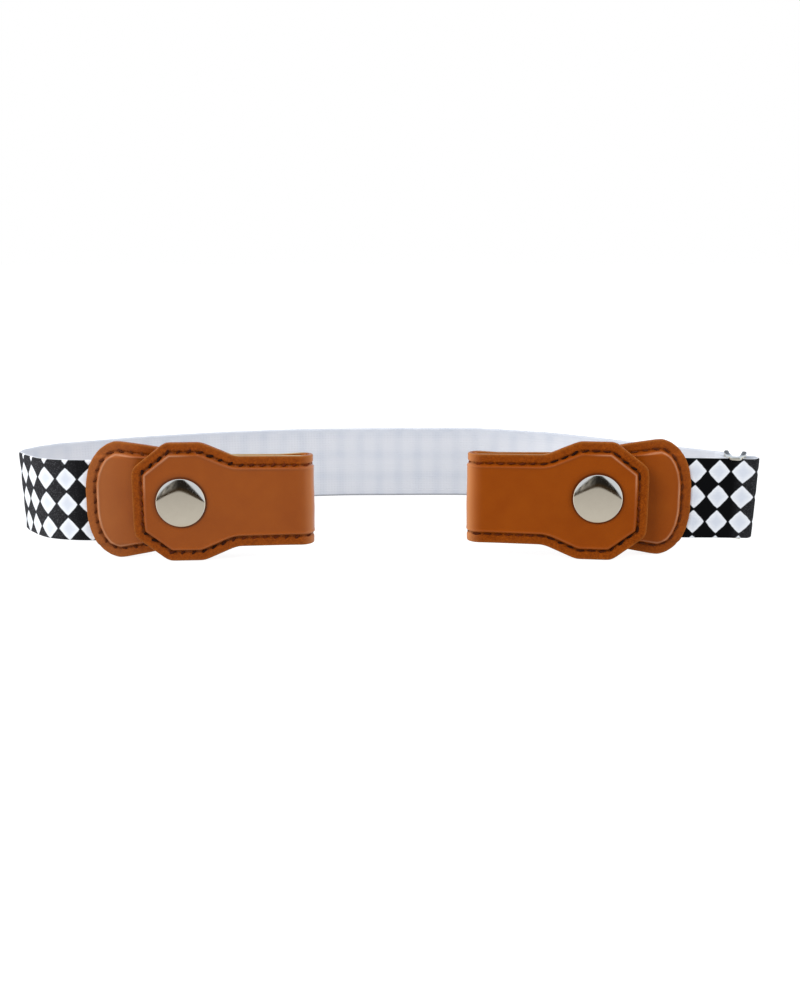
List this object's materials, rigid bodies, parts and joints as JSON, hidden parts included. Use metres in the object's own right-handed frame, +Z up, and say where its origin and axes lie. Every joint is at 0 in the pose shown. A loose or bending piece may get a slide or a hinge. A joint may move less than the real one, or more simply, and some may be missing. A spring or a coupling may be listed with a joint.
{
  "type": "buckle-free elastic belt",
  "caption": "Elastic belt with a folded leather snap tab at each front end and a metal slide, standing on its edge.",
  "frame": {"origin": "below the middle of the belt's box, on the surface that it stands on", "axes": "+X from the left tab to the right tab seen from the front, +Y from the front to the back, +Z up"},
  "size_m": [0.2292, 0.093, 0.036],
  "materials": {
    "elastic_webbing": "woven, printed on the outer face",
    "outer_leather": "smooth tan",
    "inner_leather": "smooth tan",
    "polished_nickel": "polished",
    "slide_metal": "plated"
  },
  "bodies": {
    "root": {"long_elastic": "elastic_webbing", "short_elastic": "elastic_webbing", "slide": "slide_metal", "left_outer_leather": "outer_leather", "left_inner_leather": "inner_leather", "left_snap_cap": "polished_nickel", "left_snap_post": "slide_metal", "right_outer_leather": "outer_leather", "right_inner_leather": "inner_leather", "right_snap_cap": "polished_nickel", "right_snap_post": "slide_metal"}
  },
  "joints": []
}
